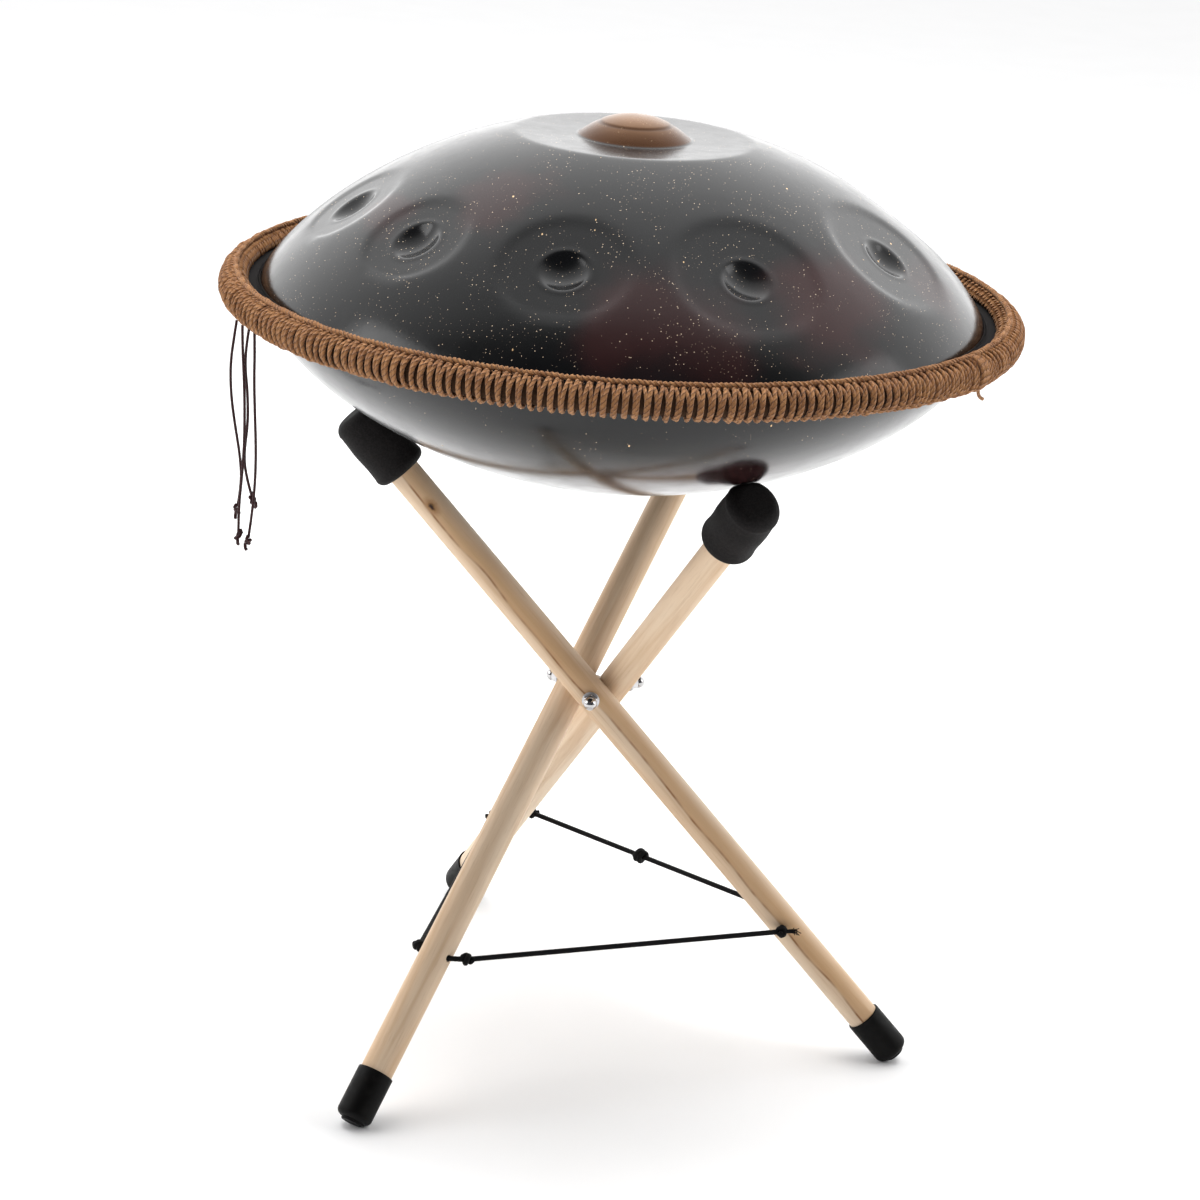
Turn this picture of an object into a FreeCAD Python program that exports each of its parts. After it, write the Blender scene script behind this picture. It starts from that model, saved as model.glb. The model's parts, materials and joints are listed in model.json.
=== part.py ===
import FreeCAD, Part
import math
import os

# Handpan on a folding three-leg wooden stand. Millimetres, +Z up.
# Origin: on the floor, straight below the centre of the pan.

Vector = FreeCAD.Vector
UP = Vector(0, 0, 1)

# ---- Stand: three dowels that cross at a waist ------------------------------
LEG_NAMES = ("a", "b", "c")
LEG_RADIUS = 12.0
LEG_LEAN = 43.0            # degrees from upright, stand open
WAIST_OFFSET = 17.4        # stand axis to each dowel's axis, at the waist
WAIST_HEIGHT = 276.0
FIRST_BOLT_AZIMUTH = -92.5  # degrees, bolt through leg a; the others are 120 degrees apart
LEG_ABOVE_WAIST = 258.0    # to the top end inside the pad
LEG_BELOW_WAIST = 363.0    # to the bottom end inside the foot cap
LEG_CHAMFER = 1.0

STUD_RADIUS = 3.0
STUD_CLEARANCE = 0.05
STUD_REACH = 37.0          # stand axis to the stud's end
HUB_RADIUS = 4.8
HUB_HEIGHT = 16.0
WASHER_RADIUS = 6.5
WASHER_THICKNESS = 1.4
NUT_ACROSS_FLATS = 10.0
NUT_HEX_HEIGHT = 4.5
NUT_DOME_RADIUS = 5.2
NUT_DOME_RAISE = 2.0
WASHER_FACE = WAIST_OFFSET + LEG_RADIUS + 0.1   # stand axis to the washer's inner face

PAD_RADIUS = 20.0
PAD_START = 220.0          # along the leg from the waist
PAD_LENGTH = 56.0
PAD_EDGE = 9.0
PAD_TO_SHELL = 0.4

FOOT_START = 331.0         # along the leg, below the waist
FOOT_LENGTH = 38.0
FOOT_RADIUS = 13.5
FOOT_EDGE = 5.0
TREAD_RADIUS = 8.0
TREAD_HEIGHT = 2.0

# ---- Rope triangle that stops the legs from spreading -----------------------
ROPE_RADIUS = 2.0
ROPE_HOLE_RADIUS = 2.7
ROPE_ALONG_LEG = 233.0     # below the waist
KNOT_RADIUS = 4.8
KNOT_OFFSET = 17.0         # leg axis to knot centre
MID_KNOT_RADIUS = 6.2
MID_KNOT_SHARE = 0.56      # of the way from leg a to leg b
ROPE_GAP = 0.3

# ---- Pan --------------------------------------------------------------------
PAN_HEIGHT = 575.0         # floor to the glued rim
STEEL = 1.2
WALL_RADIUS = 262.0        # where each shell meets its flange
FLANGE_RADIUS = 282.0
GLUE = 0.4
GLUE_INNER_RADIUS = 264.0

TOP_RISE = 130.0
TOP_POWER = 2.0
TOP_EDGE_POWER = 0.78
BOTTOM_DEPTH = 133.0
BOTTOM_POWER = 1.76
BOTTOM_EDGE_POWER = 0.62
PROFILE_POINTS = 15

PLATEAU_HEIGHT = 119.0     # flat field round the central dome, above the rim
DING_RADIUS = 40.0
DING_RISE = 15.0

FIELD_RADIUS = 200.0       # pan axis to the centre of each tone field
DIMPLE_RADIUS = 17.0
DIMPLE_DEPTH = 4.5
CUTTER_LENGTH = 40.0
CUTTER_RADIUS = 72.0
# Azimuth in degrees, and depth that the flat of the field is pressed to.
TONE_FIELDS = (
    (-167.4, 2.6),
    (-135.7, 2.6),
    (-101.6, 3.4),
    (-65.6, 4.4),
    (-24.3, 4.3),
    (19.0, 4.0),
    (63.0, 3.6),
    (107.0, 3.0),
    (150.0, 2.8),
)

PORT_RADIUS = 46.0
PORT_NECK = 20.0

WRAP_RADIUS = 279.0        # centre line of the rope wrapped round the rim
WRAP_HALF_WIDTH = 11.0
WRAP_HALF_HEIGHT = 12.0
SLOT_CLEARANCE = 0.1

# ---- Tie cords: ends of the cord under the rim wrapping ---------------------
# Route points are relative to the pan's centre. Each cord hangs from the underside of the wrapping.
TIE_RADIUS = 1.0
TIE_KNOT_RADIUS = 3.2
ARC_SHARE = 0.45
TIE_ROUTES = {
    "1": ((-266.0, -98.0, -12.2), (-267.5, -98.5, -25.0), (-269.5, -97.0, -44.0),
          (-268.5, -96.0, -66.0), (-265.0, -95.5, -88.0), (-260.5, -96.5, -110.0),
          (-258.5, -97.0, -130.0), (-261.0, -96.0, -148.0)),
    "2": ((-256.0, -105.0, -12.2), (-257.5, -105.5, -24.0), (-258.5, -104.0, -42.0),
          (-256.0, -103.0, -62.0), (-254.8, -104.0, -84.0), (-256.8, -105.0, -106.0),
          (-255.0, -104.0, -122.0), (-250.5, -103.0, -137.0)),
    "3": ((-260.5, -110.0, -12.2), (-260.0, -110.5, -26.0), (-258.0, -111.5, -48.0),
          (-256.5, -112.5, -72.0), (-256.0, -112.0, -98.0), (-257.0, -110.5, -122.0),
          (-258.5, -110.0, -144.0), (-258.0, -110.5, -162.0)),
    "4": ((-252.0, -112.0, -12.2), (-251.0, -113.0, -28.0), (-250.5, -114.5, -50.0),
          (-249.0, -115.0, -74.0), (-247.5, -114.0, -98.0), (-247.2, -113.0, -122.0),
          (-248.5, -112.5, -146.0), (-250.5, -113.0, -165.0)),
}


def azimuth_vector(degrees):
    """Level unit vector at an azimuth from +X."""
    angle = math.radians(degrees)
    return Vector(math.cos(angle), math.sin(angle), 0)


def cylinder(radius, length, base, direction):
    return Part.makeCylinder(radius, length, base, direction)


def tube_between(start, end, radius):
    path = end - start
    return cylinder(radius, path.Length, start, path.normalize())


def export(shape, name):
    shape.exportStep("parts/" + name + ".step")
    print(name, "solids", len(shape.Solids), "volume cm3", round(shape.Volume / 1000.0, 2))


# ---- Leg geometry -----------------------------------------------------------
# Everything on the stand is built for leg a and turned by 120 degrees for the others.
BOLT = azimuth_vector(FIRST_BOLT_AZIMUTH)
ACROSS = azimuth_vector(FIRST_BOLT_AZIMUTH + 90.0)
LEG_UP = UP * math.cos(math.radians(LEG_LEAN)) - ACROSS * math.sin(math.radians(LEG_LEAN))
WAIST = BOLT * WAIST_OFFSET + UP * WAIST_HEIGHT


def on_leg(distance):
    """Point on the dowel's axis, a distance above the waist."""
    return WAIST + LEG_UP * distance


def on_stud(distance):
    """Point on the stud's axis, a distance out from the stand's axis."""
    return UP * WAIST_HEIGHT + BOLT * distance


ROPE_POINT = on_leg(-ROPE_ALONG_LEG)
ROPE_HOLE = UP.cross(Vector(ROPE_POINT.x, ROPE_POINT.y, 0).normalize())


def knot_point(side):
    return ROPE_POINT + ROPE_HOLE * (side * KNOT_OFFSET)


def turned(shape, index):
    """Copy of a leg a piece, moved to another leg."""
    copy = shape.copy()
    copy.rotate(Vector(0, 0, 0), UP, 120.0 * index)
    return copy


# ---- Pan surfaces -----------------------------------------------------------
def dome_profile(radius, rise, power, edge_power, inset=0.0):
    """Points (radius, height) from the crown to the wall, closer together at the wall."""
    points = []
    for step in range(PROFILE_POINTS):
        share = step / (PROFILE_POINTS - 1.0)
        r = math.sin(share * math.pi / 2.0)
        height = (rise - inset) * (1.0 - r ** power) ** edge_power
        points.append(Vector((radius - inset) * r, 0, height))
    return points


def dome_solid(radius, rise, power, edge_power, inset=0.0):
    """Solid of revolution under a dome curve, with its flat base at height 0."""
    points = dome_profile(radius, rise, power, edge_power, inset)
    curve = Part.BSplineCurve()
    curve.interpolate(points)
    centre = Vector(0, 0, 0)
    edges = [
        curve.toShape(),
        Part.makeLine(points[-1], centre),
        Part.makeLine(centre, points[0]),
    ]
    face = Part.Face(Part.Wire(edges))
    return face.revolve(centre, UP, 360)


def top_height(r):
    return TOP_RISE * (1.0 - (r / WALL_RADIUS) ** TOP_POWER) ** TOP_EDGE_POWER


def field_frame(azimuth):
    """Centre of a tone field on the dome, and the dome's normal there."""
    outward = azimuth_vector(azimuth)
    step = 0.5
    rise = top_height(FIELD_RADIUS + step) - top_height(FIELD_RADIUS - step)
    slope = rise / (2.0 * step)
    normal = (UP - outward * slope).normalize()
    return outward * FIELD_RADIUS + UP * top_height(FIELD_RADIUS), normal


def sphere_for_cap(cap_radius, cap_depth):
    return (cap_radius ** 2 + cap_depth ** 2) / (2.0 * cap_depth)


def press_fields(dome, inset):
    """Press the flat top, the tone fields and their dimples into a dome; add the central ding."""
    top = PLATEAU_HEIGHT - inset
    above = Part.makeBox(600, 600, 100, Vector(-300, -300, top))
    dome = dome.cut(above)
    dimple_ball = sphere_for_cap(DIMPLE_RADIUS, DIMPLE_DEPTH)
    for azimuth, depth in TONE_FIELDS:
        centre, normal = field_frame(azimuth)
        flat = centre - normal * (depth + inset)
        dome = dome.cut(cylinder(CUTTER_RADIUS, CUTTER_LENGTH, flat, normal))
        ball_centre = centre - normal * (depth + DIMPLE_DEPTH - dimple_ball)
        dome = dome.cut(Part.makeSphere(dimple_ball + inset, ball_centre))
    ding_ball = sphere_for_cap(DING_RADIUS, DING_RISE)
    ding_centre = UP * (PLATEAU_HEIGHT + DING_RISE - ding_ball)
    ball = Part.makeSphere(ding_ball - inset, ding_centre)
    keep = Part.makeBox(200, 200, 60, Vector(-100, -100, top - 1.0))
    return dome.fuse(ball.common(keep))


def flange():
    """Flat ring at the shell's edge; its lower face lies on the glue."""
    ring = Part.makeCylinder(FLANGE_RADIUS, STEEL)
    return ring.cut(Part.makeCylinder(WALL_RADIUS - STEEL, STEEL))


def make_top_shell():
    outer = press_fields(dome_solid(WALL_RADIUS, TOP_RISE, TOP_POWER, TOP_EDGE_POWER), 0.0)
    inner = press_fields(dome_solid(WALL_RADIUS, TOP_RISE, TOP_POWER, TOP_EDGE_POWER, STEEL), STEEL)
    shell = outer.cut(inner).fuse(flange()).removeSplitter()
    shell.translate(UP * (PAN_HEIGHT + GLUE / 2.0))
    return shell


def hang_below_rim(shape):
    """Turn a shape built crown up over, and hang it from the lower face of the glue."""
    shape.rotate(Vector(0, 0, 0), Vector(1, 0, 0), 180)
    shape.translate(UP * (PAN_HEIGHT - GLUE / 2.0))
    return shape


def bottom_dome(inset):
    dome = dome_solid(WALL_RADIUS, BOTTOM_DEPTH, BOTTOM_POWER, BOTTOM_EDGE_POWER, inset)
    return hang_below_rim(dome)


def make_bottom_shell():
    port = hang_below_rim(Part.makeCylinder(PORT_RADIUS, BOTTOM_DEPTH + STEEL))
    neck_height = BOTTOM_DEPTH - PORT_NECK
    neck = hang_below_rim(Part.makeCylinder(PORT_RADIUS + STEEL, PORT_NECK, UP * neck_height))
    outer = bottom_dome(0.0)
    shell = outer.cut(bottom_dome(STEEL)).fuse(neck.common(outer)).cut(port)
    return shell.fuse(hang_below_rim(flange())).removeSplitter()


def make_rim_glue():
    ring = Part.makeCylinder(FLANGE_RADIUS, GLUE)
    ring = ring.cut(Part.makeCylinder(GLUE_INNER_RADIUS, GLUE))
    ring.translate(UP * (PAN_HEIGHT - GLUE / 2.0))
    return ring


def make_rim_wrap():
    """Oval ring that grips the flange in a slot."""
    section = Part.Ellipse(Vector(0, 0, 0), WRAP_HALF_HEIGHT, WRAP_HALF_WIDTH).toShape()
    face = Part.Face(Part.Wire(section))
    face.rotate(Vector(0, 0, 0), Vector(1, 0, 0), 90)
    face.rotate(Vector(0, 0, 0), Vector(0, 1, 0), 90)
    face.translate(Vector(WRAP_RADIUS, 0, 0))
    ring = face.revolve(Vector(0, 0, 0), UP, 360)
    slot_half = STEEL + GLUE / 2.0 + SLOT_CLEARANCE
    slot = Part.makeCylinder(FLANGE_RADIUS + SLOT_CLEARANCE, 2.0 * slot_half, UP * -slot_half)
    ring = ring.cut(slot)
    ring.translate(UP * PAN_HEIGHT)
    return ring


# ---- Stand pieces -----------------------------------------------------------
def make_leg():
    length = LEG_BELOW_WAIST + LEG_ABOVE_WAIST
    dowel = cylinder(LEG_RADIUS, length, on_leg(-LEG_BELOW_WAIST), LEG_UP)
    ends = [edge for edge in dowel.Edges if len(edge.Vertexes) == 1]
    dowel = dowel.makeChamfer(LEG_CHAMFER, ends)
    reach = 2.0 * LEG_RADIUS
    bolt_bore = cylinder(STUD_RADIUS + STUD_CLEARANCE, 2.0 * reach, WAIST - BOLT * reach, BOLT)
    rope_bore = cylinder(ROPE_HOLE_RADIUS, 2.0 * reach, ROPE_POINT - ROPE_HOLE * reach, ROPE_HOLE)
    return dowel.cut(bolt_bore).cut(rope_bore)


def make_pad():
    """Foam cylinder with rounded ends, bored for the dowel and hollowed where the pan rests."""
    foam = cylinder(PAD_RADIUS, PAD_LENGTH, on_leg(PAD_START), LEG_UP)
    ends = [edge for edge in foam.Edges if len(edge.Vertexes) == 1]
    foam = foam.makeFillet(PAD_EDGE, ends)
    bore = cylinder(LEG_RADIUS, LEG_ABOVE_WAIST - PAD_START, on_leg(PAD_START), LEG_UP)
    return foam.cut(bore).cut(bottom_dome(-PAD_TO_SHELL))


def make_foot():
    """Rubber cap with a rounded end and a small tread, flat where it stands on the floor."""
    cap = cylinder(FOOT_RADIUS, FOOT_LENGTH, on_leg(-FOOT_START), -LEG_UP)
    rim = max(cap.Edges, key=lambda edge: (edge.CenterOfMass - WAIST).Length)
    cap = cap.makeFillet(FOOT_EDGE, [rim])
    tread = cylinder(TREAD_RADIUS, TREAD_HEIGHT, on_leg(-FOOT_START - FOOT_LENGTH), -LEG_UP)
    socket = cylinder(LEG_RADIUS, LEG_BELOW_WAIST - FOOT_START, on_leg(-FOOT_START), -LEG_UP)
    floor = Part.makeBox(1000, 1000, 50, Vector(-500, -500, -50))
    return cap.fuse(tread).cut(socket).cut(floor)


def make_rope_knots():
    """The rope's stretch through the leg, with a stopper knot on each side."""
    knots = tube_between(knot_point(-1), knot_point(1), ROPE_RADIUS)
    for side in (-1, 1):
        knots = knots.fuse(Part.makeSphere(KNOT_RADIUS, knot_point(side)))
    return knots.removeSplitter()


def rope_span_ends():
    """Ends of the taut rope from leg a to leg b, just clear of the knots at both legs."""
    start = knot_point(1)
    end = FreeCAD.Rotation(UP, 120).multVec(knot_point(-1))
    along = (end - start).normalize()
    clear = KNOT_RADIUS + ROPE_GAP
    return start + along * clear, end - along * clear


def make_hub():
    """Three studs on a short hub, one through each leg."""
    hub = Part.makeCylinder(HUB_RADIUS, HUB_HEIGHT, UP * (WAIST_HEIGHT - HUB_HEIGHT / 2.0))
    stud = cylinder(STUD_RADIUS, STUD_REACH, on_stud(0.0), BOLT)
    for index in range(3):
        hub = hub.fuse(turned(stud, index))
    return hub.removeSplitter()


def make_washer():
    washer = cylinder(WASHER_RADIUS, WASHER_THICKNESS, on_stud(WASHER_FACE), BOLT)
    return washer.cut(cylinder(STUD_RADIUS, WASHER_THICKNESS, on_stud(WASHER_FACE), BOLT))


def make_cap_nut():
    """Hexagon with a ball-shaped cap, blind on the stud."""
    base = WASHER_FACE + WASHER_THICKNESS
    corner = NUT_ACROSS_FLATS / math.sqrt(3.0)
    points = []
    for step in range(7):
        angle = math.radians(60.0 * step)
        point = on_stud(base) + UP * (corner * math.sin(angle)) + ACROSS * (corner * math.cos(angle))
        points.append(point)
    hexagon = Part.Face(Part.makePolygon(points)).extrude(BOLT * NUT_HEX_HEIGHT)
    ball = Part.makeSphere(NUT_DOME_RADIUS, on_stud(base + NUT_HEX_HEIGHT + NUT_DOME_RAISE))
    below = cylinder(3.0 * corner, 10.0, on_stud(base - 10.0), BOLT)
    bore = cylinder(STUD_RADIUS, STUD_REACH - base, on_stud(base), BOLT)
    return hexagon.fuse(ball).cut(below).cut(bore)


# ---- Tie cords --------------------------------------------------------------
def rounded_path(points, name):
    """Straight runs joined by tangent arcs as large as the two runs allow."""
    edges = []
    radii = []
    start = points[0]
    for before, corner, after in zip(points, points[1:], points[2:]):
        come = (corner - before).normalize()
        leave = (after - corner).normalize()
        half_turn = come.getAngle(leave) / 2.0
        reach = ARC_SHARE * min((corner - before).Length, (after - corner).Length)
        radii.append(reach / math.tan(half_turn))
        arc_start = corner - come * reach
        arc_end = corner + leave * reach
        inward = (leave - come).normalize()
        middle = corner + inward * arc_offset(reach, half_turn)
        edges.append(Part.makeLine(start, arc_start))
        edges.append(Part.Arc(arc_start, middle, arc_end).toShape())
        start = arc_end
    edges.append(Part.makeLine(start, points[-1]))
    print("tie cord", name, "radii mm", [round(radius) for radius in radii])
    return Part.Wire(edges)


def arc_offset(reach, half_turn):
    """Distance from the corner to the arc's middle point."""
    radius = reach / math.tan(half_turn)
    return radius / math.cos(half_turn) - radius


def make_tie_cord(name, route):
    points = [Vector(*point) + UP * PAN_HEIGHT for point in route]
    path = rounded_path(points, name)
    section = Part.Wire(Part.Circle(points[0], points[1] - points[0], TIE_RADIUS).toShape())
    cord = path.makePipeShell([section], True, False)
    expected = math.pi * TIE_RADIUS ** 2 * path.Length
    print("  length", round(path.Length, 1), "volume share", round(cord.Volume / expected, 4))
    direction = (points[-1] - points[-2]).normalize()
    knot = Part.makeSphere(TIE_KNOT_RADIUS, points[-1] + direction * (TIE_KNOT_RADIUS - 0.2))
    knot = knot.cut(cylinder(TIE_RADIUS * 1.02, 1.0, points[-1] - direction, direction))
    return cord, knot


def main():
    os.makedirs("parts", exist_ok=True)
    export(make_top_shell(), "top_shell")
    export(make_bottom_shell(), "bottom_shell")
    export(make_rim_glue(), "rim_glue")
    export(make_rim_wrap(), "rim_wrap")

    span_start, span_end = rope_span_ends()
    stand_pieces = {
        "leg": make_leg(),
        "pad": make_pad(),
        "foot": make_foot(),
        "rope_knots": make_rope_knots(),
        "rope_span": tube_between(span_start, span_end, ROPE_RADIUS),
    }
    for name, piece in stand_pieces.items():
        for index, leg_name in enumerate(LEG_NAMES):
            export(turned(piece, index), name + "_" + leg_name)

    export(make_hub(), "hub_studs")
    washer = make_washer()
    export(Part.makeCompound([turned(washer, index) for index in range(3)]), "washers")
    nut = make_cap_nut()
    export(Part.makeCompound([turned(nut, index) for index in range(3)]), "cap_nuts")
    middle = span_start + (span_end - span_start) * MID_KNOT_SHARE
    mid_knot = Part.makeSphere(MID_KNOT_RADIUS, middle)
    export(mid_knot.cut(stand_pieces["rope_span"]), "rope_mid_knot")

    for name, route in TIE_ROUTES.items():
        cord, knot = make_tie_cord(name, route)
        export(cord, "tie_cord_" + name)
        export(knot, "tie_knot_" + name)


main()
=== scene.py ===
import json
import math
import bpy
import numpy as np
from mathutils import Matrix, Vector


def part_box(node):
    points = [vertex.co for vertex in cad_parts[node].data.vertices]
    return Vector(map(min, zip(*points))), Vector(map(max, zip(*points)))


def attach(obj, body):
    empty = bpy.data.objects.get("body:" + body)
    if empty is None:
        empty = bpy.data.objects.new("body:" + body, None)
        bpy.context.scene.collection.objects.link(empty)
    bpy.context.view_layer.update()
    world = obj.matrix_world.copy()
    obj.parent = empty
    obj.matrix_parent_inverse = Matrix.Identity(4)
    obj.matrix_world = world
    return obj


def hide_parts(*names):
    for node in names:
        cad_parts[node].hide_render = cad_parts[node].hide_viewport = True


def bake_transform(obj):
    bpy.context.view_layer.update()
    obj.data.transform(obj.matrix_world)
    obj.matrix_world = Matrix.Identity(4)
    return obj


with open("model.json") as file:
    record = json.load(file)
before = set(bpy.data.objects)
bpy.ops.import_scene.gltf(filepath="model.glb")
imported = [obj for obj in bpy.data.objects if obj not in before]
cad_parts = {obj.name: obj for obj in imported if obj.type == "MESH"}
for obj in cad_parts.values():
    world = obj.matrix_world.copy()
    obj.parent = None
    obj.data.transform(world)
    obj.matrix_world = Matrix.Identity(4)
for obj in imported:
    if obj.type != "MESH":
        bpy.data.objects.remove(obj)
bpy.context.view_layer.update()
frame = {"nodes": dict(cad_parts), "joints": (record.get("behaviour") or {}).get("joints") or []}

# Handpan on a folding three-leg wooden stand. Metres, in the frame of the CAD model.
JOINTS = {joint["name"]: joint for joint in frame["joints"]}
UP = Vector((0.0, 0.0, 1.0))
GLUE_LOW, GLUE_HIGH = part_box("rim_glue")
PAN = Vector((0.0, 0.0, (GLUE_LOW.z + GLUE_HIGH.z) / 2.0))
GLUE_HALF = (GLUE_HIGH.z - GLUE_LOW.z) / 2.0
chance = np.random.default_rng(20)


def add_object(name, data):
    made = bpy.data.objects.new(name, data)
    bpy.context.scene.collection.objects.link(made)
    return made


# ---- Camera ----
CAMERA_PLACE = (0.0, -2.3, 1.126)
CAMERA_SENSOR, CAMERA_LENS = 36.0, 97.9                                 # millimetres
CAMERA_DOWN, CAMERA_ROLL = math.radians(18.76), math.radians(4.27)


def make_camera():
    data = bpy.data.cameras.new("camera")
    data.sensor_width, data.lens = CAMERA_SENSOR, CAMERA_LENS
    camera = add_object("camera", data)
    turn = Matrix.Rotation(math.radians(90.0) - CAMERA_DOWN, 4, "X") @ Matrix.Rotation(CAMERA_ROLL, 4, "Z")
    camera.matrix_world = Matrix.Translation(CAMERA_PLACE) @ turn
    bpy.context.scene.camera = camera


# ---- Mesh building ----
class Net:
    """Quad grids gathered into one mesh, each with its own UVs."""

    def __init__(self):
        self.points, self.faces, self.uvs = [], [], []
        self.total = 0

    def grid(self, points, length, ring=False, caps=False):
        """A tube of rows by columns by 3, its rows joined in a ring or its ends capped if that is asked for.

        Columns go counter-clockwise seen against the rows' way. length is V at the far end.
        """
        rows, columns = points.shape[:2]
        row_count = rows if ring else rows - 1
        i, j = (a.ravel() for a in np.meshgrid(np.arange(row_count), np.arange(columns), indexing="ij"))
        row, next_row = i * columns, (i + 1) % rows * columns
        next_column = (j + 1) % columns
        quads = np.stack([row + j, row + next_column, next_row + next_column, next_row + j], 1)
        u, v = j / columns, i / row_count * length
        u2, v2 = (j + 1) / columns, (i + 1) / row_count * length
        self.faces += (quads + self.total).tolist()
        self.uvs.append(np.stack([u, v, u2, v, u2, v2, u, v2], 1).reshape(-1, 2))
        if caps:
            first = list(range(self.total, self.total + columns))
            self.cap(first[::-1], 0.0)
            self.cap([k + (rows - 1) * columns for k in first], length)
        self.points.append(points.reshape(-1, 3))
        self.total += rows * columns

    def tube(self, path, radius, columns, relief=None):
        """A round tube with capped ends. UVs run along it in metres."""
        points, length = sweep(path, radius, columns, relief)
        self.grid(points, length, caps=True)

    def cap(self, ring, v):
        self.faces.append(ring)
        self.uvs.append(np.full((len(ring), 2), (0.0, v)))

    def fan(self, ring, pole):
        """Triangles from a ring of point numbers to one point at the pole."""
        self.points.append(np.array([pole], float))
        for k, point in enumerate(ring):
            self.faces.append([point, ring[(k + 1) % len(ring)], self.total])
            self.uvs.append(np.zeros((3, 2)))
        self.total += 1

    def close(self, columns, first_pole, last_pole):
        """Close the ends of the one grid so far, each with a fan to a pole."""
        total = self.total
        self.fan(list(range(total - columns, total)), last_pole)
        self.fan(list(range(columns))[::-1], first_pole)

    def make(self, name, material, body, node, matrix=None):
        """One mesh object in a CAD node's place."""
        mesh = bpy.data.meshes.new(name)
        mesh.from_pydata(np.concatenate(self.points).tolist(), [], self.faces)
        layer = mesh.uv_layers.new(name="UVMap")
        layer.data.foreach_set("uv", np.concatenate(self.uvs).astype(np.float32).ravel())
        mesh.polygons.foreach_set("use_smooth", np.ones(len(mesh.polygons), bool))
        mesh.materials.append(material)
        made = add_object(name, mesh)
        if matrix is not None:
            made.matrix_world = matrix
        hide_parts(node)
        if body:
            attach(made, body)
        return made


def even_angles(columns):
    return np.arange(columns) * 2.0 * math.pi / columns


def lathe(profile, angles):
    """Grid of a (radius, height) profile turned about Z. An outer face's profile runs upward."""
    profile = np.array(profile, float)
    r, z = profile[:, 0, None], profile[:, 1, None]
    flat = np.zeros_like(angles)[None, :]
    return np.stack([r * np.cos(angles), r * np.sin(angles), z + flat], -1)


def unit(vectors):
    return vectors / np.linalg.norm(vectors, axis=-1)[..., None]


def spokes(one, other, angles):
    """Directions round a line, for each of its points, from two directions across it."""
    return one[:, None] * np.cos(angles)[None, :, None] + other[:, None] * np.sin(angles)[None, :, None]


def distances(path):
    """Distance along a path at each of its points."""
    return np.concatenate([[0.0], np.cumsum(np.linalg.norm(np.diff(path, axis=0), axis=1))])


def arc(centre_r, centre_z, radius, start, end, steps):
    """Points (radius, height) on an arc, with its angles in degrees."""
    turn = np.radians(np.linspace(start, end, steps))
    return [(centre_r + radius * math.cos(a), centre_z + radius * math.sin(a)) for a in turn]


def sweep(path, radius, columns, relief=None):
    """Grid of a round tube along a path, its frame carried along without twisting."""
    path = np.array(path, float)
    tangents = unit(np.gradient(path, axis=0))
    side = np.cross(tangents[0], (0.31, 0.17, 0.94))
    sides = []
    for tangent in tangents:
        side = side - tangent * side.dot(tangent)
        side = side / np.linalg.norm(side)
        sides.append(side)
    sides = np.array(sides)
    angles = even_angles(columns)
    along = distances(path)
    reach = np.full((len(path), columns), 1.0) * np.array(radius, float).reshape(-1, 1)
    if relief is not None:
        reach = reach + relief(angles[None, :], along[:, None])
    return path[:, None] + spokes(sides, np.cross(tangents, sides), angles) * reach[:, :, None], along[-1]


# ---- Node materials ----
ALL = slice(None)


class Nodes:
    """The node tree of a material or a world, built up one node at a time."""

    def __init__(self, owner):
        owner.use_nodes = True
        self.tree = owner.node_tree

    def node(self, kind, inputs=None, output=0, **settings):
        """The new node's output, or several of them if output is a slice."""
        made = self.tree.nodes.new("ShaderNode" + kind)
        for key, value in settings.items():
            setattr(made, key, value)
        for key, value in (inputs or {}).items():
            self.put(made.inputs[key], value)
        return made.outputs[output]

    def put(self, socket, value):
        if isinstance(value, bpy.types.NodeSocket):
            self.tree.links.new(value, socket)
        elif socket.type == "RGBA":
            socket.default_value = (*value, 1.0)
        else:
            socket.default_value = value


class Paint(Nodes):
    """A node material."""

    def __init__(self, name):
        self.material = bpy.data.materials.new(name)
        super().__init__(self.material)
        self.shader = self.tree.nodes["Principled BSDF"]

    def set(self, **values):
        """Shader inputs by name, with _ for each space."""
        for key, value in values.items():
            self.put(self.shader.inputs[key.replace("_", " ")], value)
        return self.material

    def coordinates(self, kind="Object", scale=(1.0, 1.0, 1.0), matrix=None):
        place = self.node("TexCoord", output=kind)
        if matrix is not None:
            inside = matrix.inverted()
            place = self.node("Mapping", {"Vector": place, "Location": inside.to_translation(),
                                          "Rotation": inside.to_euler()})
        return self.scaled(place, scale)

    def scaled(self, place, scale):
        return self.node("Mapping", {"Vector": place, "Scale": scale})

    def noise(self, place, scale, detail=4.0, roughness=0.5, distortion=0.0):
        return self.node("TexNoise", {"Vector": place, "Scale": scale, "Detail": detail,
                                      "Roughness": roughness, "Distortion": distortion})

    def math(self, operation, a, b=0.0):
        return self.node("Math", {0: a, 1: b}, operation=operation)

    def times(self, a, b):
        return self.math("MULTIPLY", a, b)

    def vector(self, operation, a, b, output=0):
        return self.node("VectorMath", {0: a, 1: b}, output, operation=operation)

    def between(self, value, low, high, to_low=0.0, to_high=1.0):
        return self.node("MapRange", {"Value": value, "From Min": low, "From Max": high,
                                      "To Min": to_low, "To Max": to_high}, interpolation_type="SMOOTHSTEP")

    def mix(self, share, a, b):
        return self.node("Mix", {0: share, 6: a, 7: b}, output=2, data_type="RGBA")

    def bump(self, height, distance, strength=1.0, under=None):
        inputs = {"Height": height, "Distance": distance, "Strength": strength}
        if under is not None:
            inputs["Normal"] = under
        return self.node("Bump", inputs)


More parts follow.
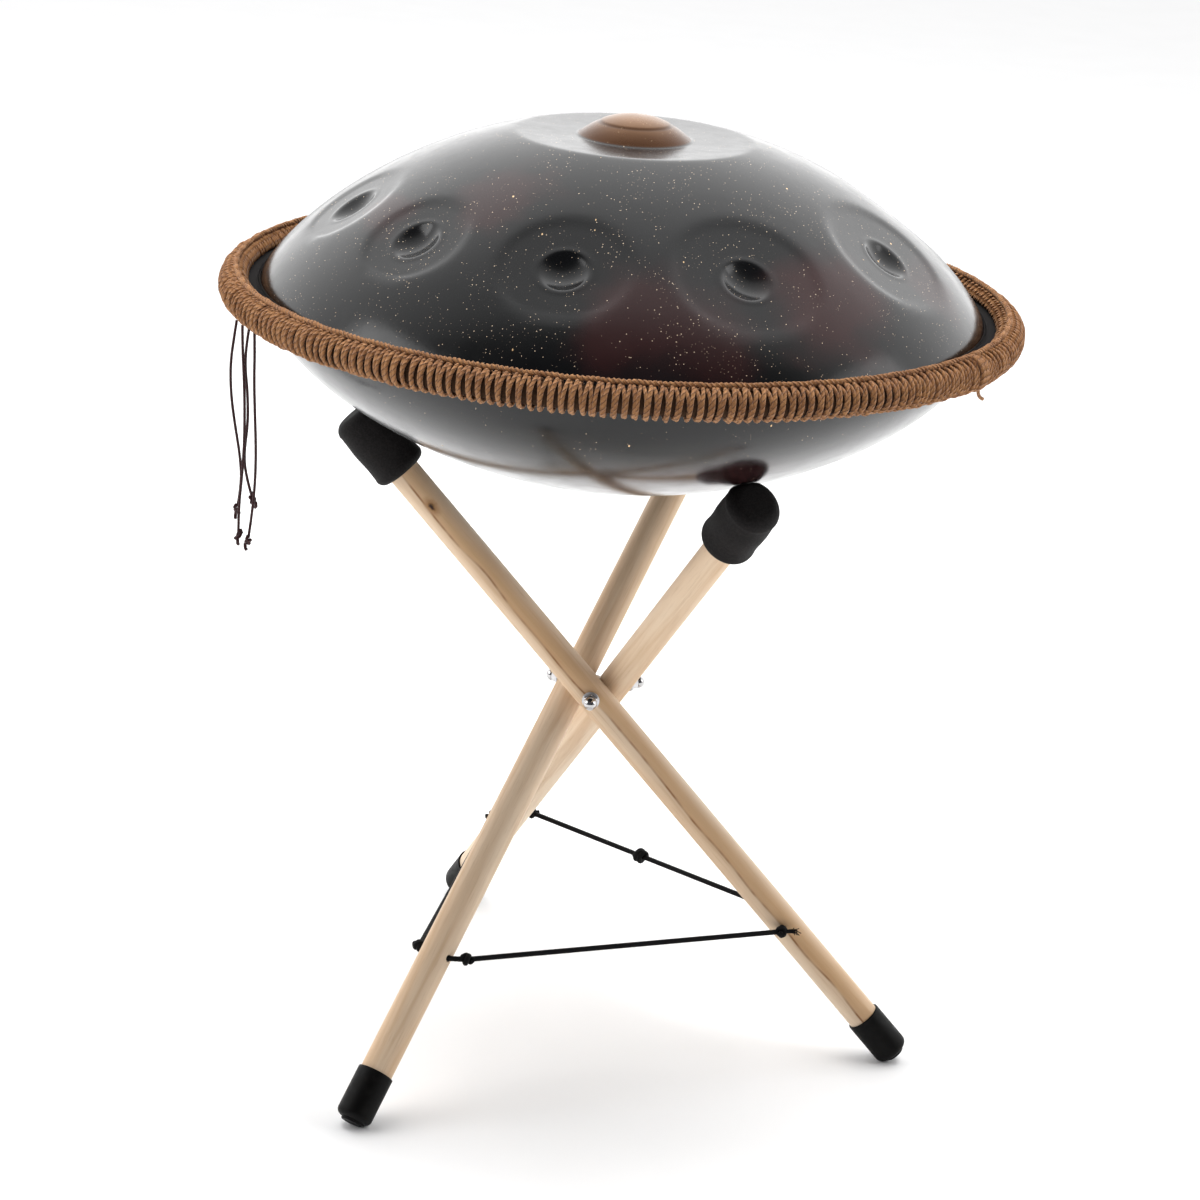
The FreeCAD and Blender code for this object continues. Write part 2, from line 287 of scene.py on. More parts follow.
def flecks(paint, place, cell, size, share):
    """1 inside small round flecks, one in some cells of a given size, and 0 elsewhere."""
    distance, tint = paint.node("TexVoronoi", {"Vector": place, "Scale": 1.0 / cell}, ALL)[:2]
    near = paint.between(distance, size / cell, size / cell * 0.55)
    pick = paint.node("SeparateColor", {"Color": tint})
    return paint.times(near, paint.math("LESS_THAN", pick, share))


def soft_spot(paint, place, centre, radius, core=0.15):
    """1 at a point, fading to 0 at a radius."""
    distance = paint.vector("DISTANCE", place, centre, "Value")
    return paint.between(distance, radius, radius * core)


def stirred(paint, place, scale, reach):
    """Coordinates pushed about by noise, so that a patch gets an uneven edge."""
    push = paint.node("TexNoise", {"Vector": place, "Scale": scale, "Detail": 3.0}, output=1)
    middle = paint.vector("SUBTRACT", push, (0.5, 0.5, 0.5))
    push = paint.node("VectorMath", {0: middle, "Scale": reach}, operation="SCALE")
    return paint.vector("ADD", place, push)


def steel_paint(name, fleck_share, red_reflections, ding=False):
    """Dark heat-treated steel under a satin clear finish, with fine gold flecks and painted dark red
    reflections.

    ding adds the bronze middle, with painted light and shade on it, and black painted shade on the flange and
    the foot of the wall, in the gap under the wrapping, which is made matt too.
    """
    paint = Paint(name)
    place = paint.coordinates()
    cloud = paint.noise(place, 7.0, 3.0)
    base = paint.mix(paint.between(cloud, 0.35, 0.7), (0.0024, 0.0027, 0.0031),
                     (0.0056, 0.0058, 0.0064))
    patchy = stirred(paint, place, 14.0, 0.11)
    # Painted reflections: dark red patches with uneven edges, put into the steel's colour at given spots.
    for centre, radius, strength in red_reflections:
        tint = paint.times(soft_spot(paint, patchy, centre, radius, 0.45), strength)
        base = paint.mix(tint, base, (0.034, 0.0095, 0.0095))
    wander = paint.noise(place, 24.0, 3.0)
    dense = paint.between(wander, 0.40, 0.62, 0.22 * fleck_share, fleck_share)
    dots = flecks(paint, place, 0.0035, 0.00046, dense)
    faint = flecks(paint, paint.coordinates(scale=(1.3, 1.3, 1.3)), 0.0031, 0.00042, dense)
    stretched = paint.coordinates(scale=(1.0, 0.66, 0.38))
    long_dots = flecks(paint, stretched, 0.0115, 0.00080, paint.times(dense, 0.75))
    pale = paint.mix(wander, (0.50, 0.39, 0.28), (0.74, 0.57, 0.41))
    base = paint.mix(paint.times(faint, 0.45), base, pale)
    base = paint.mix(dots, base, pale)
    base = paint.mix(long_dots, base, (0.85, 0.57, 0.30))
    rough = paint.between(paint.noise(place, 60.0, 5.0, 0.6), 0.3, 0.7, 0.15, 0.22)
    metal = 0.0
    if ding:
        flat = paint.coordinates(scale=(1.0, 1.0, 0.0))
        reach = paint.node("VectorMath", {0: flat}, output="Value", operation="LENGTH")
        on_ding = paint.between(reach, DING_RADIUS + 0.0012, DING_RADIUS - 0.0008)
        streaks = paint.noise(paint.coordinates(scale=(0.35, 1.0, 1.0)), 70.0, 4.0, 0.55)
        # Painted light and shade: the bronze is light at the top of the ding and dark towards its edge, as
        # light falls on the dome, with streaks of noise in the fade.
        painted_ding_light = paint.math("ADD", reach, paint.times(streaks, 0.011))
        bronze = paint.mix(paint.between(painted_ding_light, 0.014, 0.046), (0.235, 0.128, 0.066),
                           (0.072, 0.030, 0.012))
        # Painted shade: a dark ring in the crease of the ding's step.
        step = paint.times(paint.between(reach, DING_STEP - 0.0023, DING_STEP - 0.0003),
                           paint.between(reach, DING_STEP + 0.0027, DING_STEP + 0.0003))
        bronze = paint.mix(paint.times(step, 0.7), bronze, (0.055, 0.023, 0.010))
        bronze = paint.mix(paint.times(faint, 0.6), bronze, (0.80, 0.60, 0.36))
        base = paint.mix(on_ding, base, bronze)
        metal = paint.times(on_ding, 0.7)
        rough = paint.math("ADD", rough, paint.times(on_ding, 0.10))
        # Painted shade: the flange and the foot of the wall, in the gap under the wrapping, are made black.
        gap_shade = paint.between(reach, WALL_RADIUS - 0.0020, WALL_RADIUS - 0.0008)
        base = paint.mix(gap_shade, base, (0.003, 0.002, 0.002))
        rough = paint.math("MAXIMUM", rough, paint.times(gap_shade, 0.95))
    skin = paint.bump(paint.noise(place, 420.0, 4.0, 0.6), 0.00005, 0.5)
    skin = paint.bump(paint.noise(place, 18.0, 1.0), 0.0006, 0.10, skin)
    return paint.set(Base_Color=base, Roughness=rough, Metallic=metal, Normal=skin, IOR=1.5,
                     Specular_IOR_Level=0.38)


def jute_paint(name, ply=0.0040):
    """Twisted brown jute. UVs run round the strand and along it in metres."""
    paint = Paint(name)
    around, along, _ = paint.node("SeparateXYZ", {0: paint.node("TexCoord", output="UV")}, ALL)
    turn = paint.math("ADD", paint.times(around, 2.0), paint.math("DIVIDE", along, ply))
    plies = paint.math("ABSOLUTE", paint.math("SINE", paint.times(turn, math.pi)))
    place = paint.coordinates()
    fibres = paint.noise(place, 1500.0, 5.0, 0.65, 0.6)
    patch = paint.noise(place, 90.0, 4.0)
    brown = paint.mix(paint.between(patch, 0.3, 0.7), (0.270, 0.112, 0.040), (0.405, 0.188, 0.070))
    brown = paint.mix(paint.between(fibres, 0.45, 0.8, 0.0, 0.7), brown, (0.53, 0.295, 0.125))
    # Painted shade: darker brown in the grooves between the plies.
    ply_groove_shade = paint.between(plies, 0.45, 0.0, 0.0, 0.85)
    brown = paint.mix(ply_groove_shade, brown, (0.075, 0.034, 0.016))
    skin = paint.bump(paint.math("ADD", plies, paint.times(fibres, 1.1)), 0.0007, 1.0)
    return paint.set(Base_Color=brown, Roughness=0.92, Specular_IOR_Level=0.2, Normal=skin,
                     Sheen_Weight=0.15, Sheen_Roughness=0.6)


def core_paint():
    """The inside of the wrapping, seen between its strands, painted dark as the shade there."""
    paint = Paint("jute_core_shade")
    fibres = paint.noise(paint.coordinates(), 900.0, 5.0, 0.65)
    tone = paint.mix(fibres, (0.020, 0.011, 0.007), (0.085, 0.045, 0.024))
    return paint.set(Base_Color=tone, Roughness=0.95, Specular_IOR_Level=0.1,
                     Normal=paint.bump(fibres, 0.001, 0.8))


def wood_paint(name, matrix, seed, streak=None, knot=None):
    """Sanded pale dowel, its grain along the leg.

    streak is the angle round the dowel of a dark grain line, and knot the height of the branch knot
    beside it.
    """
    paint = Paint(name)
    local = paint.coordinates(matrix=matrix)
    shifted = paint.vector("ADD", local, (seed, seed * 0.37, seed * 1.9))
    grain = paint.scaled(shifted, (1.0, 1.0, 0.045))
    bands = paint.noise(grain, 105.0, 4.0, 0.55, 0.8)
    fine = paint.noise(grain, 900.0, 3.0, 0.6)
    wide = paint.noise(paint.scaled(shifted, (1.0, 1.0, 0.11)), 30.0, 2.0)
    pale = paint.mix(paint.between(wide, 0.35, 0.66), (0.76, 0.615, 0.460), (0.67, 0.485, 0.320))
    tone = paint.mix(paint.between(bands, 0.46, 0.68, 0.0, 0.45), pale, (0.52, 0.325, 0.175))
    tone = paint.mix(paint.between(fine, 0.52, 0.75, 0.0, 0.30), tone, (0.43, 0.265, 0.145))
    if streak is not None:
        across, side, height = paint.node("SeparateXYZ", {0: local}, ALL)
        angle = paint.math("ARCTAN2", side, across)
        sway = paint.node("TexNoise", {"W": height, "Scale": 9.0, "Detail": 1.0}, noise_dimensions="1D")
        wander = paint.between(sway, 0.3, 0.7, -0.16 - streak, 0.16 - streak)
        offset = paint.math("ADD", angle, wander)
        warm = paint.times(paint.between(offset, -0.1, 0.1), paint.between(offset, 1.7, 0.4))
        tone = paint.mix(paint.times(warm, 0.6), tone, (0.54, 0.300, 0.120))
        line = paint.between(paint.math("ABSOLUTE", offset), 0.11, 0.01)
        breaks = paint.node("TexNoise", {"W": height, "Scale": 38.0}, noise_dimensions="1D")
        strength = paint.between(breaks, 0.3, 0.7, 0.15)
        tone = paint.mix(paint.times(line, strength), tone, (0.27, 0.120, 0.045))
        beside = streak + 0.14
        heart = (LEG_RADIUS * math.cos(beside), LEG_RADIUS * math.sin(beside), knot * 0.5)
        long_place = paint.scaled(stirred(paint, local, 260.0, 0.003), (1.0, 1.0, 0.5))
        tone = paint.mix(soft_spot(paint, long_place, heart, 0.0058), tone, (0.36, 0.180, 0.070))
        tone = paint.mix(soft_spot(paint, long_place, heart, 0.0023), tone, (0.030, 0.012, 0.006))
    skin = paint.bump(paint.math("ADD", bands, paint.times(fine, 0.6)), 0.00022, 0.5)
    return paint.set(Base_Color=tone, Roughness=paint.between(bands, 0.3, 0.7, 0.52, 0.66),
                     Specular_IOR_Level=0.35, Normal=skin)


def foam_paint():
    """Closed-cell foam: matte black, with tiny pores and a soft sheen."""
    paint = Paint("black_foam")
    place = paint.coordinates()
    pores = paint.node("TexVoronoi", {"Vector": place, "Scale": 1700.0})
    grain = paint.noise(place, 700.0, 4.0, 0.65)
    tone = paint.mix(paint.between(grain, 0.35, 0.7), (0.0050, 0.0042, 0.0042), (0.0125, 0.0108, 0.0108))
    skin = paint.bump(paint.math("ADD", grain, paint.times(pores, 0.8)), 0.00035, 0.55)
    return paint.set(Base_Color=tone, Roughness=0.75, Specular_IOR_Level=0.16, Normal=skin)


def rubber_paint():
    """Moulded black rubber, slightly worn."""
    paint = Paint("black_rubber")
    place = paint.coordinates()
    wear = paint.noise(place, 160.0, 5.0, 0.6)
    tone = paint.mix(paint.between(wear, 0.45, 0.75), (0.0014, 0.0012, 0.0011), (0.0052, 0.0046, 0.0042))
    rough = paint.between(wear, 0.3, 0.7, 0.45, 0.62)
    skin = paint.bump(paint.noise(place, 1400.0, 3.0), 0.00012, 0.5)
    return paint.set(Base_Color=tone, Roughness=rough, Specular_IOR_Level=0.12, Normal=skin)


def black_rope_paint():
    """Braided black nylon, its filaments running along the plaits."""
    paint = Paint("black_nylon")
    fibres = paint.noise(paint.coordinates(), 2600.0, 4.0, 0.6)
    tone = paint.mix(paint.between(fibres, 0.4, 0.75), (0.0016, 0.0016, 0.0018), (0.0090, 0.0090, 0.0100))
    return paint.set(Base_Color=tone, Roughness=0.7, Specular_IOR_Level=0.14,
                     Normal=paint.bump(fibres, 0.0002, 0.7))


def waxed_cord_paint():
    """Waxed dark red cord with a diagonal lay."""
    paint = Paint("waxed_cord")
    place = paint.coordinates()
    inputs = {"Vector": place, "Scale": 260.0, "Distortion": 1.5, "Detail": 2.0, "Detail Scale": 3.0}
    lay = paint.node("TexWave", inputs, 1, wave_type="BANDS", bands_direction="DIAGONAL")
    tone = paint.mix(lay, (0.014, 0.003, 0.004), (0.050, 0.009, 0.010))
    return paint.set(Base_Color=tone, Roughness=0.5, Specular_IOR_Level=0.25,
                     Normal=paint.bump(lay, 0.00025, 0.8))


def metal_paint(name, tone, low, high):
    """Plated steel: bright, with fine handling marks."""
    paint = Paint(name)
    place = paint.coordinates()
    marks = paint.noise(place, 900.0, 5.0, 0.7, 0.5)
    stain = paint.noise(place, 120.0, 3.0)
    shade = paint.mix(paint.between(stain, 0.4, 0.7), tone, tuple(0.82 * part for part in tone))
    return paint.set(Base_Color=shade, Roughness=paint.between(marks, 0.3, 0.7, low, high),
                     Metallic=1.0, Normal=paint.bump(marks, 0.00003, 0.4))


def glue_paint():
    paint = Paint("cured_glue")
    lumps = paint.noise(paint.coordinates(), 240.0, 3.0)
    tone = paint.mix(lumps, (0.03, 0.028, 0.025), (0.08, 0.072, 0.062))
    return paint.set(Base_Color=tone, Roughness=0.45, Normal=paint.bump(lumps, 0.0003, 0.5))


# ---- Tie cords under the rim ----
# Route points from the pan's centre. Each cord leaves the underside of the wrapping and hangs free.
TIE_RADIUS = 0.001
TIE_KNOT_RADIUS, TIE_KNOT_LEAD, TIE_KNOT_TAIL = 0.0032, 0.0036, 0.0062
TIE_ROUTES = {
    "1": ((-0.266, -0.098, -0.0122), (-0.2675, -0.0985, -0.025), (-0.2695, -0.097, -0.044),
          (-0.2685, -0.096, -0.066), (-0.265, -0.0955, -0.088), (-0.2605, -0.0965, -0.11),
          (-0.2585, -0.097, -0.13), (-0.261, -0.096, -0.148)),
    "2": ((-0.256, -0.105, -0.0122), (-0.2575, -0.1055, -0.024), (-0.2585, -0.104, -0.042),
          (-0.256, -0.103, -0.062), (-0.2548, -0.104, -0.084), (-0.2568, -0.105, -0.106),
          (-0.255, -0.104, -0.122), (-0.2505, -0.103, -0.137)),
    "3": ((-0.2605, -0.11, -0.0122), (-0.26, -0.1105, -0.026), (-0.258, -0.1115, -0.048),
          (-0.2565, -0.1125, -0.072), (-0.256, -0.112, -0.098), (-0.257, -0.1105, -0.122),
          (-0.2585, -0.11, -0.144), (-0.258, -0.1105, -0.162)),
    "4": ((-0.252, -0.112, -0.0122), (-0.251, -0.113, -0.028), (-0.2505, -0.1145, -0.05),
          (-0.249, -0.115, -0.074), (-0.2475, -0.114, -0.098), (-0.2472, -0.113, -0.122),
          (-0.2485, -0.1125, -0.146), (-0.2505, -0.113, -0.165)),
}


def knot_path(centre, axis):
    """Open trefoil drawn tight into a ball. Its ends leave along the axis."""
    t = np.linspace(-2.0, 2.0, 60)
    size = TIE_KNOT_RADIUS * 0.95 - TIE_RADIUS
    loop = np.stack([(t ** 3 - 3.0 * t) * size / 2.3, (t ** 5 - 10.0 * t) * size / 10.5,
                     (t ** 4 - 4.0 * t * t + 2.0) * size / 2.9], 1)
    near, share, forward = 1.22 * size, np.array([[0.35], [0.75], [1.0]]), np.array([0.0, 1.0, 0.0])
    before = loop[0] * (1.0 - share[::-1]) - forward * (near + (TIE_KNOT_LEAD - near) * share[::-1])
    after = loop[-1] * (1.0 - share) + forward * (near + (TIE_KNOT_TAIL - near) * share)
    turn = axis.normalized().to_track_quat("Y", "Z").to_matrix()
    return np.concatenate([before, loop, after]) @ np.array(turn).T + np.array(centre)


def make_tie_cords(paint):
    for name, route in TIE_ROUTES.items():
        curve = bpy.data.curves.new("tie_cord_" + name, "CURVE")
        curve.dimensions = "3D"
        curve.bevel_depth = TIE_RADIUS
        curve.bevel_resolution = 4
        curve.resolution_u = 12
        curve.use_fill_caps = True
        spline = curve.splines.new("NURBS")
        spline.points.add(len(route) - 1)
        points = [PAN + Vector(point) for point in route]
        for control, point in zip(spline.points, points):
            control.co = (*point, 1.0)
        spline.order_u = 3
        spline.use_endpoint_u = True
        curve.materials.append(paint)
        cord = add_object("tie_cord_" + name + "_lay", curve)
        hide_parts("tie_cord_" + name)
        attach(cord, "pan")
        down = (points[-1] - points[-2]).normalized()
        net = Net()
        centre = points[-1] + down * TIE_KNOT_RADIUS * 0.9
        net.tube(knot_path(centre, down), TIE_RADIUS * 1.22, 12)
        knot = net.make("tie_knot_" + name + "_tied", paint, "pan", "tie_knot_" + name)


# ---- Pan ----
STEEL = 0.0012
WALL_RADIUS = 0.262
FLANGE_RADIUS = 0.282
TOP_RISE, TOP_POWER, TOP_EDGE_POWER = 0.130, 2.0, 0.78
BOTTOM_DEPTH, BOTTOM_POWER, BOTTOM_EDGE_POWER = 0.133, 1.76, 0.62
PLATEAU_HEIGHT = 0.119
PLATEAU_RADIUS = 0.086
PLATEAU_DISH = 0.0016
DING_RADIUS, DING_RISE = 0.040, 0.015
DING_STEP = 0.0255
FIELD_RADIUS = 0.200
DIMPLE_RADIUS, DIMPLE_DEPTH = 0.017, 0.0056
FIELD_REACH = 0.075
CENTRE_REACH = 0.118
TOP_COLUMNS, BOTTOM_COLUMNS, WRAP_COLUMNS = 470, 256, 28
# Azimuth in degrees of each tone field, and the depth that it is pressed to.
TONE_FIELDS = ((-167.4, 0.0026), (-135.7, 0.0026), (-101.6, 0.0034), (-65.6, 0.0044), (-24.3, 0.0043),
               (19.0, 0.0040), (63.0, 0.0036), (107.0, 0.0030), (150.0, 0.0028))
PORT_RADIUS, PORT_NECK = 0.046, 0.020


def top_height(r):
    share = np.clip(r / WALL_RADIUS, 0.0, 1.0)
    return TOP_RISE * (1.0 - share ** TOP_POWER) ** TOP_EDGE_POWER


def bottom_depth(r):
    share = np.clip(r / WALL_RADIUS, 0.0, 1.0)
    return BOTTOM_DEPTH * (1.0 - share ** BOTTOM_POWER) ** BOTTOM_EDGE_POWER


def soft_low(value, width):
    """Smooth version of the lower of a value and 0."""
    return 0.5 * (value - np.sqrt(value * value + width * width))


def spaced(share, values, density):
    """Values at shares of the way along, closer together where the density is higher."""
    count = np.concatenate([[0.0], np.cumsum((density[1:] + density[:-1]) / 2.0)])
    return np.interp(share, count / count[-1], values)


def ring_radii():
    """Radii from the wall to the centre, closer where the surface turns sharply."""
    r = np.linspace(0.0, 1.0, 4000) * WALL_RADIUS
    density = 0.25 + 0.45 * (r < PORT_RADIUS) + 0.9 * (abs(r - PLATEAU_RADIUS) < 0.006)
    density += 0.65 * (abs(r - 0.2035) < 0.0235) + 0.5 * (abs(r - DING_STEP) < 0.003)
    radii = spaced(np.linspace(0.008, 1.0, 132), r, density)
    wall = WALL_RADIUS * np.sin(np.radians(np.linspace(80.0, 90.0, 11)))
    inner = radii[radii < wall[0] - 0.001]
    return np.concatenate([wall[::-1], inner[::-1]])


def column_angles(total):
    """Angles round the pan, closer together across the dimples."""
    angle = np.linspace(-180.0, 180.0, 7201)
    density = np.ones_like(angle)
    for azimuth, _ in TONE_FIELDS:
        gap = abs((angle - azimuth + 180.0) % 360.0 - 180.0)
        density += 1.3 * np.exp(-(gap / 5.5) ** 4)
    return np.radians(spaced(np.arange(total) / total, angle, density))


def field_frame(azimuth):
    """Centre of a tone field on the dome, and the dome's normal there."""
    angle = math.radians(azimuth)
    outward = np.array([math.cos(angle), math.sin(angle), 0.0])
    step = 0.0005
    slope = (top_height(FIELD_RADIUS + step) - top_height(FIELD_RADIUS - step)) / (2.0 * step)
    normal = np.array([0.0, 0.0, 1.0]) - outward * slope
    return outward * FIELD_RADIUS + np.array([0.0, 0.0, top_height(FIELD_RADIUS)]), unit(normal)


def press_fields(points):
    """Press the tone fields, their hollow middles and the lip round each hollow into the dome."""
    for azimuth, depth in TONE_FIELDS:
        centre, normal = field_frame(azimuth)
        away = points - (centre - normal * depth)
        rise = away @ normal
        across = np.linalg.norm(away - rise[..., None] * normal, axis=-1)
        near = across < FIELD_REACH
        pressed = soft_low(rise, 0.0009)
        share = np.clip(rise / depth, 0.0, 1.0)
        moat = np.clip((share + 0.02) / 0.30, 0.0, 1.0)
        pressed -= 0.0009 * moat * moat * (3.0 - 2.0 * moat) + 0.0006 * share
        bowl = DIMPLE_DEPTH * (1.0 - (across / DIMPLE_RADIUS) ** 2)
        pressed += soft_low(-bowl, 0.0007)
        pressed += 0.00035 * np.exp(-((across - DIMPLE_RADIUS * 1.09) / 0.0022) ** 2)
        move = np.where(near, pressed - rise, 0.0)
        points = points + move[..., None] * normal
    return points


def centre_height(r, height):
    """Height of the dome with its flat top dished, and the ding on it."""
    dish = PLATEAU_HEIGHT - PLATEAU_DISH * np.clip(1.0 - (r / PLATEAU_RADIUS) ** 2, 0.0, 1.0)
    height = dish + soft_low(height - dish, 0.0007)
    ball = (DING_RADIUS ** 2 + DING_RISE ** 2) / (2.0 * DING_RISE)
    ding = PLATEAU_HEIGHT + DING_RISE - ball + np.sqrt(np.maximum(ball * ball - r * r, 0.0))
    ding -= 0.0005 / (1.0 + np.exp((DING_STEP - r) / 0.0004))
    ding -= 0.0003 * np.exp(-((r - DING_STEP) / 0.0009) ** 2)
    ding = np.where(r < 0.06, ding, -1.0)
    return ding - soft_low(ding - height, 0.0004)


def make_top_shell(paint):
    angles = column_angles(TOP_COLUMNS)
    radii = ring_radii()
    outer = press_fields(lathe([(r, float(top_height(r))) for r in radii], angles))
    flat = np.hypot(outer[..., 0], outer[..., 1])
    outer[..., 2] = np.where(flat < CENTRE_REACH, centre_height(flat, outer[..., 2]), outer[..., 2])
    normals = unit(np.cross(np.roll(outer, -1, 1) - np.roll(outer, 1, 1), np.gradient(outer, axis=0)))
    rows = np.unique(np.concatenate([np.arange(0, len(radii), 4), [len(radii) - 1]]))[::-1]
    inner = outer[rows] - normals[rows] * STEEL
    inner[-1, :, 2] = STEEL
    edge = lathe([(WALL_RADIUS - STEEL, 0.0), (FLANGE_RADIUS - 0.0002, 0.0), (FLANGE_RADIUS, 0.0002),
                  (FLANGE_RADIUS, STEEL - 0.0002), (FLANGE_RADIUS - 0.0002, STEEL),
                  (WALL_RADIUS + 0.002, STEEL), (WALL_RADIUS + 0.0006, STEEL + 0.0004)], angles)
    outer[0, :, 2] = STEEL + 0.002
    net = Net()
    net.grid(np.concatenate([inner, edge, outer]), 0.6)
    net.close(len(angles), (0.0, 0.0, inner[0, :, 2].mean()), (0.0, 0.0, outer[-1, :, 2].mean() + 0.00001))
    lift = Matrix.Translation(PAN + UP * GLUE_HALF)
    net.make("top_shell_pressed", paint, "pan", "top_shell", lift)


def make_bottom_shell(paint):
    wall = [WALL_RADIUS * math.sin(math.radians(a)) for a in np.linspace(90.0, 62.0, 16)]
    body = list(np.linspace(wall[-1], PORT_RADIUS + 0.0035, 50)[1:])
    outer = [(r, -float(bottom_depth(r))) for r in wall + body]
    low = -float(bottom_depth(PORT_RADIUS))
    lip = arc(PORT_RADIUS + 0.0032, low + 0.0030, 0.0032, -90.0, -180.0, 7)
    neck_top = low + PORT_NECK
    neck = [(PORT_RADIUS, neck_top - 0.0006), (PORT_RADIUS + STEEL / 2.0, neck_top),
            (PORT_RADIUS + STEEL, neck_top - 0.0006)]
    back = arc(PORT_RADIUS + 0.0032, low + 0.0030, 0.0032 - STEEL, 180.0, 270.0, 5)
    inner = [(r - STEEL * 0.6, z + STEEL) for r, z in outer[::-1][1:]]
    inner = [(min(r, WALL_RADIUS - STEEL), min(z, -STEEL)) for r, z in inner]
    flange = [(FLANGE_RADIUS, 0.0), (FLANGE_RADIUS, -STEEL), (WALL_RADIUS + 0.0015, -STEEL)]
    profile = inner + [(WALL_RADIUS - STEEL, 0.0)] + flange + outer[1:] + lip + neck + back
    net = Net()
    net.grid(lathe(profile, even_angles(BOTTOM_COLUMNS))[::-1], 0.6, ring=True)
    drop = Matrix.Translation(PAN - UP * GLUE_HALF)
    net.make("bottom_shell_pressed", paint, "pan", "bottom_shell", drop)


# ---- Rim wrapping ----
WRAP_RADIUS = 0.279
WRAP_HALF_WIDTH = 0.0110
WRAP_HALF_HEIGHT = 0.0120
STITCHES = 262
YARN_RADIUS, YARN_SIDES = 0.00142, 8
WRAP_OPEN = math.radians(166.0)
SPLICE_ANGLE = math.radians(-31.0)


def on_wrap(theta, phi, lift):
    """Points on the wrap's oval section and the section's outward directions. phi 0 faces out and 90 up."""
    flat = WRAP_RADIUS + (WRAP_HALF_WIDTH + lift) * np.cos(phi)
    height = (WRAP_HALF_HEIGHT + lift) * np.sin(phi)
    point = np.stack([flat * np.cos(theta), flat * np.sin(theta), height], -1)
    out = np.stack([np.cos(phi) * np.cos(theta), np.cos(phi) * np.sin(theta), np.sin(phi)], -1)
    return point, out


def yarn(net, theta, phi, lift, thickness):
    """One strand laid over the section; theta, phi and lift are given along its length."""
    path, out = on_wrap(theta, phi, lift)
    tangent = unit(np.gradient(path, axis=0))
    side = unit(np.cross(tangent, out))
    spoke = spokes(np.cross(side, tangent), -side, even_angles(YARN_SIDES))
    net.grid(path[:, None] + spoke * thickness, distances(path)[-1], caps=True)


def make_splice(paint, place):
    """Where the wrapping's yarn ends: a few crossed turns on top of the others, and a short loose tail."""
    net = Net()
    phi = np.linspace(math.radians(118.0), math.radians(-62.0), 24)
    ease = np.sin(np.linspace(0.0, math.pi, len(phi))) ** 0.5
    for turn in range(5):
        lean = (0.010 if turn % 2 else -0.006) * chance.uniform(0.6, 1.3)
        theta = SPLICE_ANGLE + 0.0042 * (turn - 2.0) + lean * np.cos(phi) + 0.0006 * np.sin(5.0 * phi + turn)
        yarn(net, theta, phi, -YARN_RADIUS + 0.0026 * ease, YARN_RADIUS * 1.05)
    share = np.linspace(0.0, 1.0, 14)
    theta = SPLICE_ANGLE + 0.004 + 0.030 * share ** 1.6
    phi = np.radians(-48.0 - 34.0 * share + 16.0 * share ** 3)
    yarn(net, theta, phi, -0.001 + 0.0085 * share, YARN_RADIUS * 0.9)
    net.make("rim_wrap_splice", paint, "pan", "rim_wrap", place)


def make_rim_wrap(paint, core):
    place = Matrix.Translation(PAN)
    pitch = 2.0 * math.pi / STITCHES
    phi = np.linspace(WRAP_OPEN, -WRAP_OPEN, 27)
    spread_at = np.radians([-180.0, -95.0, -60.0, 20.0, 75.0, 95.0, 180.0])
    spread = np.interp(phi, spread_at, [0.36, 0.38, 0.43, 0.37, 0.15, 0.12, 0.24])
    for side, name in ((1.0, "rim_wrap_under_strands"), (-1.0, "rim_wrap_over_strands")):
        net = Net()
        for stitch in range(STITCHES):
            slow = 1.0 + 0.16 * math.sin(0.11 * stitch) * math.sin(0.043 * stitch + 1.0)
            lean = 0.10 * math.sin(0.031 * stitch + 0.6) + 0.05 * chance.standard_normal()
            wide = slow * (1.0 + 0.10 * chance.standard_normal())
            theta = pitch * (stitch + side * spread * wide + lean * np.sin(phi))
            drop = 0.0 if side < 0 else -0.0007
            wave = 0.00025 * np.sin(3.0 * phi + chance.uniform(0.0, 6.28))
            lift = -YARN_RADIUS + drop + wave + 0.0002 * chance.standard_normal()
            thickness = YARN_RADIUS * (1.0 + 0.07 * chance.standard_normal())
            yarn(net, theta, phi, lift, thickness)
        net.make(name, paint, "pan", "rim_wrap", place)
    make_splice(paint, place)
    net = Net()
    turns = np.linspace(0.0, 2.0 * math.pi, 1101)[:-1]
    for strand in range(2):
        twist = turns * STITCHES + math.pi * strand
        wobble = 0.00018 * np.sin(turns * 57.0) + 0.00015 * np.sin(turns * 131.0)
        phi_line = np.radians(97.0) + 0.075 * np.cos(twist)
        lift_line = 0.00045 + 0.00085 * np.sin(twist) + wobble
        path, out = on_wrap(turns, phi_line, lift_line)
        side = unit(np.cross(unit(np.roll(path, -1, 0) - np.roll(path, 1, 0)), out))
        spoke = spokes(out, -side, even_angles(YARN_SIDES))
        net.grid(path[:, None] + spoke * YARN_RADIUS, 2.0 * math.pi * WRAP_RADIUS, ring=True)
    net.make("rim_wrap_top_chain", paint, "pan", "rim_wrap", place)
    net = Net()
    theta, phi = np.meshgrid(np.radians(np.arange(360.0)), even_angles(WRAP_COLUMNS), indexing="ij")
    rough = 0.00025 * np.sin(theta * STITCHES / 2.0 + 3.0 * phi)
    path, _ = on_wrap(theta, phi, rough - 2.5 * YARN_RADIUS)
    net.grid(path[:, ::-1], 1.7, ring=True)
    net.make("rim_wrap_core", core, "pan", "rim_wrap", place)


